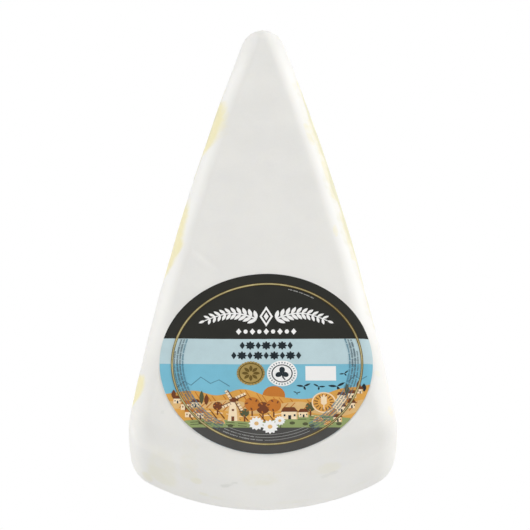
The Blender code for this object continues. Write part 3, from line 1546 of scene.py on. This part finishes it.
    def draw_trees(self) -> None:
        """Draw the poplars, the round trees and the bushes."""
        for x, y, height, ink in (
            (-60, -47, 15, Ink.OLIVE),
            (-55.5, -48, 12, Ink.BROWN),
            (-86, -41, 10, Ink.BROWN),
            (75, -37, 13, Ink.OLIVE),
            (86, -33, 12, Ink.BROWN),
            (91, -33, 9, Ink.NAVY),
            (78.5, -46, 9, Ink.BROWN),
        ):
            self.add(5, ink, [Draw.leaf((x, y), 90, height, 4.2)])
        for x, y, size, ink in (
            (-13, -55, 7.2, Ink.ORANGE),
            (-3, -58, 6.2, Ink.BROWN),
            (7, -56, 6.8, Ink.ORANGE),
            (-20, -61, 4.2, Ink.OLIVE),
            (41, -55, 4.6, Ink.OLIVE),
            (-45, -54, 4.4, Ink.BROWN),
        ):
            self.add(6, Ink.BROWN, [Draw.box((x - 0.7, y - 4.5), (x + 0.7, y + 1.2))])
            self.add(7, ink, [Draw.oval((x, y + 1.2 * size), size, 1.05 * size, 0, 26)])
            other = Ink.BROWN if ink is Ink.ORANGE else Ink.ORANGE
            for turn in (30, 95, 160, 250):
                angle = math.radians(turn)
                spot = (
                    x + 0.52 * size * math.cos(angle),
                    y + (1.2 + 0.55 * math.sin(angle)) * size,
                )
                leaf = Draw.leaf(spot, turn + 40, 0.5 * size, 0.24 * size)
                self.add(8, other, [leaf])
        spots = ((-60, -67), (-33, -70), (24, -67), (36, -68), (42, -70), (67, -68))
        bushes = [Draw.oval(spot, 2.6, 1.7, 0, 16) for spot in spots]
        self.add(6, Ink.OLIVE, bushes)

    def draw_mill(self, foot: Point) -> None:
        """Draw a windmill.

        Args:
            foot: The middle of its base.
        """
        x, y = foot
        tower = [(x - 5.6, y), (x + 5.6, y), (x + 3.4, y + 22), (x - 3.4, y + 22)]
        self.add(7, Ink.CREAM, [tower])
        shade = [(x + 3.4, y), (x + 5.6, y), (x + 3.4, y + 22), (x + 1.8, y + 22)]
        self.add(8, Ink.SAND, [shade])
        self.add(8, Ink.BROWN, [Draw.leaf((x - 4.6, y + 23), 0, 9.2, 5.4)])
        door, window = Draw.box((x - 2.2, y), (x + 0.4, y + 5)), (x - 0.8, y + 12)
        self.add(8, Ink.BROWN, [door, Draw.disc(window, 1.2, 16)])
        hub = Vector((x, y + 22.4))
        reach, breadth = 13.0, 3.0
        sails = []
        for turn in (28, 118, 208, 298):
            away = Vector(Draw.polar((0.0, 0.0), 1.0, turn))
            aside = breadth * Vector((-away.y, away.x))
            start, end = hub + 2.8 * away, hub + reach * away
            corners = (start, end, end + aside, start + aside)
            sails.append([(corner.x, corner.y) for corner in corners])
            self.add(9, Ink.BROWN, [Draw.bar(hub, end, 0.9)])
            for share in (0.35, 0.6, 0.85):
                rung = hub + reach * share * away
                self.add(9, Ink.BROWN, [Draw.bar(rung, rung + aside, 0.5)])
        self.add(8, Ink.CREAM, sails)

    def draw_sky_life(self) -> None:
        """Draw the far peaks and the swallows by the blank field."""
        left = [(-84, -29), (-76, -22), (-70, -26), (-61, -17), (-52, -24), (-44, -20)]
        right = [(76, -22), (83, -15), (88, -20), (94, -16)]
        for peaks in (left + [(-34, -27)], right):
            self.add(1, Ink.STEEL, [Draw.stroke(peaks, 1.0)])
        for x, y, size, turn in (
            (35, -27, 7.0, 14),
            (49, -27.5, 6.0, -10),
            (66, -27, 8.5, 18),
            (73, -13, 5.0, 30),
            (28.5, -34, 3.6, 0),
        ):
            for lean, length in ((12, size), (158, size), (-84, 0.62 * size)):
                feather = Draw.leaf((x, y), turn + lean, length, 0.30 * size)
                self.add(1, Ink.NAVY, [feather])

    def draw_flowers(self) -> None:
        """Draw the daisies that stand on the line between meadow and foot."""
        eyes, stems = [], []
        for x, y, size in ((-9, -67.5, 7.4), (3.5, -71, 7.8), (12.5, -64.5, 5.2)):
            stems.append(Draw.stroke([(x, y), (x + 0.8, y - 7.6)], 0.9))
            for turn in range(0, 360, 30):
                root = Draw.polar((x, y), 0.9, turn)
                petal = Draw.leaf(root, turn, size - 0.9, 0.46 * size)
                self.add(9 if turn % 60 else 8, Ink.WHITE, [petal])
            eyes.append(Draw.disc((x, y), 0.28 * size, 20))
        self.add(7, Ink.OLIVE, stems)
        self.add(10, Ink.SAND, eyes)

    def draw_ring(self) -> None:
        """Draw the gold ring: a dark line with a light core that swells and thins; the
        core is narrowed at two places to the right as painted shade, where the gold
        foil reflects less light.
        """
        middle, radius = (0.8, -0.9), 88.95
        self.add(9, Ink.DARK_GOLD, Draw.hoop(middle, 90.1, 87.8, 200))
        core: list[Loop] = [[], []]
        for step in range(240):
            turn = 360 * step / 240
            # Painted shade: the light core narrows about 40 and 302 degrees, where the
            # foil looks dull.
            painted_foil_shade = math.exp(-(((turn - 40) / 26) ** 2))
            painted_foil_shade += 0.7 * math.exp(-(((turn - 302) / 20) ** 2))
            half = 0.62 - 0.42 * painted_foil_shade
            core[0].append(Draw.polar(middle, radius + half, turn))
            core[1].append(Draw.polar(middle, radius - half, turn))
        self.add(10, Ink.PALE_GOLD, core)

    def draw_ticks(self) -> None:
        """Draw the rows of fine ticks that run inside the ring."""
        draw = random.Random(7)
        foot = math.degrees(math.asin(-self.ground_line / 83.0))
        for radius, top, height, ink in (
            (86.0, 12.0, 1.3, Ink.GREY),
            (83.4, 25.0, 1.9, Ink.GREY),
            (80.8, 25.0, 1.9, Ink.GREY),
            (78.3, 25.0, 1.7, Ink.STEEL),
        ):
            rise = math.degrees(math.asin(top / radius))
            self.draw_tick_row(draw, radius, (180 - rise, 180 + foot), height, ink)
            self.draw_tick_row(draw, radius, (360 - foot, 360 + rise), height, ink)
        for radius, height, last in (
            (85.6, 1.2, 268),
            (82.6, 1.0, 262),
            (79.6, 0.7, 244),
        ):
            self.draw_tick_row(draw, radius, (180 + foot + 2, last), height, Ink.ASH)
            rest = Draw.arc(radius, last + 1, 360 - foot - 2, 40)
            self.add(9, Ink.ASH, [Draw.stroke(rest, 0.35)])
        self.draw_tick_row(draw, 84.4, (57.5, 76.5), 1.2, Ink.ASH)
        patch = Draw.arc(85.0, -39, -28, 10) + Draw.arc(77.0, -28, -39, 10)
        self.add(8, Ink.CREAM, [patch])

    def draw_tick_row(
        self,
        draw: random.Random,
        radius: float,
        span: tuple[float, float],
        height: float,
        ink: Ink,
    ) -> None:
        """Draw one row of ticks, in groups like printed lines seen from far off.

        Args:
            draw: The source of chance for the groups.
            radius: The row's radius.
            span: The angles that it starts and ends at, in degrees.
            height: How tall the ticks are.
            ink: Their colour.
        """
        ticks = []
        angle, last = span
        step = math.degrees(0.9 / radius)
        group = 0
        while angle < last:
            group -= 1
            if group < 0:
                group = draw.randint(4, 11)
                angle += step * draw.uniform(0.5, 1.2)
                continue
            half = height * draw.choice((0.7, 0.7, 1.0)) / 2
            ends = [Draw.polar((0, 0), radius + side, angle) for side in (-half, half)]
            ticks.append(Draw.stroke(ends, 0.58))
            angle += step
        self.add(9, ink, ticks)

    def draw_sprigs(self) -> None:
        """Draw two leafy sprigs with a lozenge between them and beads under them."""
        for side in (-1, 1):
            stem = [
                (side * (9 + 4.9 * step), 46.5 + 8.0 * math.sin(0.30 * step + 0.2))
                for step in range(11)
            ]
            self.add(3, Ink.WHITE, [Draw.stroke(stem, 1.8, 0.6)])
            for index in range(1, 11):
                x, y = stem[index]
                before = stem[index - 1]
                heading = math.degrees(math.atan2(y - before[1], x - before[0]))
                length = 10.6 - 0.36 * index
                for lean in (-52, 52):
                    leaf = Draw.leaf(before, heading + lean, length, 0.38 * length)
                    self.add(3, Ink.WHITE, [leaf])
            tip = math.degrees(math.atan2(stem[-1][1] - stem[-2][1], side * 4.9))
            self.add(3, Ink.WHITE, [Draw.leaf(stem[-1], tip, 6.5, 2.8)])
        centre = (0, 51)
        border = [Draw.lozenge(centre, 6.4, 11.5), Draw.lozenge(centre, 4.2, 7.8)]
        self.add(3, Ink.WHITE, border)
        self.add(4, Ink.WHITE, [Draw.lozenge(centre, 2.4, 4.6)])
        for step in range(-4, 5):
            place = (6.5 * step, 33.9)
            if step % 2:
                shape = Draw.oval(place, 2.0, 2.4, 0, 20)
            else:
                shape = Draw.lozenge(place, 2.6, 3.6)
            self.add(3, Ink.WHITE, [shape])

    def draw_frieze(self) -> None:
        """Draw two rows of dark flowers and solid lozenges on the pale band."""
        for row, (height, half, pitch) in enumerate(((18.3, 3, 7.5), (7.1, 4, 7.6))):
            for step in range(-half, half + 1):
                x = pitch * step
                if (step + row) % 2:
                    self.add(4, Ink.NAVY, [Draw.lozenge((x, height), 2.5, 4.2)])
                    continue
                for turn in range(0, 360, 45):
                    petal = Draw.leaf((x, height), turn, 4.9, 2.5)
                    self.add(3, Ink.NAVY, [petal])

    def draw_roundels(self) -> None:
        """Draw the gold, white and cream roundels and the blank field beside them."""
        self.draw_gold_roundel((-14.4, -12.5), 13.5)
        self.draw_white_roundel((14.8, -12.8), 14.2)
        self.draw_cream_roundel((53.4, -44.9), 11.4)
        self.add(3, Ink.WHITE, [Draw.box((36.6, -20.8), (65.2, -4.8))])

    def draw_gold_roundel(self, middle: Point, radius: float) -> None:
        """Draw a toothed gold disc with a rosette.

        Args:
            middle: Its centre.
            radius: Its radius.
        """
        self.add(4, Ink.GOLD, [Draw.star(middle, radius, 0.94 * radius, 30)])
        self.add(5, Ink.DARK_GOLD, Draw.hoop(middle, 0.84 * radius, 0.76 * radius))
        for turn in range(0, 360, 45):
            root = Draw.polar(middle, 0.14 * radius, turn)
            petal = Draw.leaf(root, turn, 0.5 * radius, 0.24 * radius)
            self.add(5, Ink.DARK_GOLD, [petal])
        places = [
            Draw.polar(middle, 0.895 * radius, 15 * (step + 0.5)) for step in range(24)
        ]
        beads = [Draw.disc(place, 0.035 * radius, 8) for place in places]
        self.add(5, Ink.DARK_GOLD, beads)

    def draw_white_roundel(self, middle: Point, radius: float) -> None:
        """Draw a white disc with a black ring round a clover.

        Args:
            middle: Its centre.
            radius: Its radius.
        """
        x, y = middle
        self.add(5, Ink.WHITE, [Draw.disc(middle, radius)])
        self.add(6, Ink.NAVY, Draw.hoop(middle, 0.70 * radius, 0.625 * radius))
        for turn in (90, 210, 330):
            place = Draw.polar((x, y + 0.04 * radius), 0.24 * radius, turn)
            leaf = Draw.oval(place, 0.235 * radius, 0.19 * radius, turn, 24)
            self.add(6, Ink.NAVY, [leaf])
        stalk = [
            (x + across * radius, y - down * radius)
            for across, down in ((0.0, 0.0), (0.06, 0.3), (0.2, 0.5))
        ]
        self.add(6, Ink.NAVY, [Draw.stroke(stalk, 0.09 * radius)])
        self.add(6, Ink.GREY, self.rays(middle, radius, 28, (0.79, 0.90), 0.07))

    def draw_cream_roundel(self, middle: Point, radius: float) -> None:
        """Draw a cream ring round an ear of wheat.

        Args:
            middle: Its centre.
            radius: Its radius.
        """
        self.add(8, Ink.OCHRE, [Draw.disc(middle, radius)])
        self.add(9, Ink.BROWN, self.rays(middle, radius, 15, (0.5, 0.8), 0.09))
        self.add(9, Ink.CREAM, Draw.hoop(middle, 0.99 * radius, 0.89 * radius))
        x, y = middle
        stalk = [(x, y + up * radius) for up in (-0.66, 0.1, 0.45)]
        self.add(10, Ink.CREAM, [Draw.stroke(stalk, 0.08 * radius)])
        for level in range(4):
            root = (x, y + (-0.22 + 0.18 * level) * radius)
            for turn in (45, 135):
                grain = Draw.leaf(root, turn, 0.36 * radius, 0.17 * radius)
                self.add(10, Ink.CREAM, [grain])
        tip = Draw.leaf((x, y + 0.42 * radius), 90, 0.34 * radius, 0.17 * radius)
        self.add(10, Ink.CREAM, [tip])

    @staticmethod
    def rays(
        middle: Point, radius: float, count: int, span: Point, width: float
    ) -> list[Loop]:
        """Draw short lines that point away from a centre.

        Args:
            middle: The centre.
            radius: The roundel's radius, which the other sizes are shares of.
            count: How many lines there are.
            span: How far from the centre they start and end.
            width: How wide they are.

        Returns:
            The loops.
        """
        loops = []
        for step in range(count):
            ends = [
                Draw.polar(middle, share * radius, 360 * step / count) for share in span
            ]
            loops.append(Draw.stroke(ends, width * radius))
        return loops


@dataclass(frozen=True)
class SoftLamp:
    """A large soft lamp far away: its direction, how much it gives and its spread."""

    name: str
    azimuth: float
    elevation: float
    level: float
    spread: float = 24.0

    def hang(self) -> None:
        """Hang the lamp so that it faces the cheese."""
        turn, rise = math.radians(self.azimuth), math.radians(self.elevation)
        flat = math.cos(rise)
        way = Vector((flat * math.cos(turn), flat * math.sin(turn), math.sin(rise)))
        data = bpy.data.lights.new(self.name, "SUN")
        data.energy = math.pi * self.level
        data.angle = math.radians(self.spread)
        lamp = Bench.link(self.name, data)
        lamp.location = way
        lamp.rotation_euler = (-way).to_track_quat("-Z", "Y").to_euler()


@dataclass
class Studio:
    """The pale floor, the soft lamps round the cheese and the camera."""

    elevation: float = 55.5
    distance: float = 1.25
    lens: float = 173.3
    target: Vector = field(default_factory=lambda: Vector((0.00096, -0.00326, 0.02)))
    backdrop: float = 1.0
    floor_glow: float = 0.369
    floor_size: float = 8.0
    floor_gap: float = 0.2 * MILLIMETRE
    lamps: tuple[SoftLamp, ...] = (
        SoftLamp("low_left", 210, 7, 0.472, 12),
        SoftLamp("low_right", 330, 7, 0.507, 12),
        SoftLamp("right", 0, 20, 0.188),
        SoftLamp("back_right", 60, 12, 0.311),
        SoftLamp("back", 90, 30, 0.245),
        SoftLamp("high_right", 30, 40, 0.178),
        SoftLamp("high_left", 150, 40, 0.244),
        SoftLamp("higher_left", 180, 50, 0.233),
        SoftLamp("high_front", 270, 40, 0.160),
    )

    def build(self) -> None:
        """Set everything up."""
        self.place_camera()
        self.lay_floor()
        self.light_world()
        for lamp in self.lamps:
            lamp.hang()
        view = bpy.context.scene.view_settings
        view.view_transform = "Standard"
        view.look = "None"
        view.exposure = 0.0
        view.gamma = 1.0

    def place_camera(self) -> None:
        """Put the camera where the photograph was taken from."""
        rise = math.radians(self.elevation)
        back = Vector((0.0, -math.cos(rise), math.sin(rise)))
        data = bpy.data.cameras.new("camera")
        data.lens = self.lens
        data.sensor_width = 36.0
        camera = Bench.link("camera", data)
        camera.location = self.target + back * self.distance
        camera.rotation_euler = (-back).to_track_quat("-Z", "Y").to_euler()
        bpy.context.scene.camera = camera

    def lay_floor(self) -> None:
        """Lay the pale floor."""
        bpy.ops.object.select_all(action="DESELECT")
        bpy.ops.mesh.primitive_plane_add(
            size=self.floor_size, location=(0, 0, -self.floor_gap)
        )
        floor = bpy.context.view_layer.objects.active
        floor.name = "floor"
        Bench.settle(floor)
        material, graph, shader = Finish.start("pale_floor")
        graph.preset(
            shader,
            Base_Color=(0.2, 0.2, 0.2, 1.0),
            Roughness=0.9,
            Specular_IOR_Level=0.0,
            Emission_Color=WHITE_LIGHT,
            Emission_Strength=self.floor_glow,
        )
        self.whiten(graph, "ShaderNodeEmission", shader, "Material Output")
        floor.data.materials.append(material)

    def light_world(self) -> None:
        """Make the world dark but for the camera, as the lamps give all the light."""
        world = bpy.data.worlds.new("studio")
        bpy.context.scene.world = world
        world.use_nodes = True
        graph = Graph(world.node_tree)
        dark = world.node_tree.nodes["Background"]
        graph.preset(dark, Color=WHITE_LIGHT, Strength=0.0)
        self.whiten(graph, "ShaderNodeBackground", dark, "World Output")

    def whiten(
        self, graph: Graph, kind: str, other: bpy.types.Node, output: str
    ) -> None:
        """Let the camera see plain white where other rays meet a shader.

        Args:
            graph: The material's or the world's graph.
            kind: The type of the white shader.
            other: The shader that the other rays meet.
            output: The name of the graph's output node.
        """
        white = graph.node(kind)
        graph.preset(white, Color=WHITE_LIGHT, Strength=self.backdrop)
        switch = graph.node("ShaderNodeMixShader")
        ray = graph.node("ShaderNodeLightPath")
        graph.join(ray.outputs["Is Camera Ray"], switch.inputs[0])
        graph.join(other.outputs[0], switch.inputs[1])
        graph.join(white.outputs[0], switch.inputs[2])
        end = graph.tree.nodes[output]
        graph.join(switch.outputs[0], end.inputs["Surface"])


def main() -> None:
    """Build the cheese, its label and the studio, and report each piece."""
    logging.basicConfig(level=logging.INFO, format="%(name)s: %(message)s")
    rind, form = Rind().build()
    low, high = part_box("label")
    label = LabelPrint((high.x - low.x) / 2, (low + high) / 2, form)
    for piece in (rind, *label.build()):
        log.info("%s: %d faces", piece.name, len(piece.data.polygons))
    bpy.data.objects.remove(form)
    Studio().build()


if __name__ == "__main__":
    main()
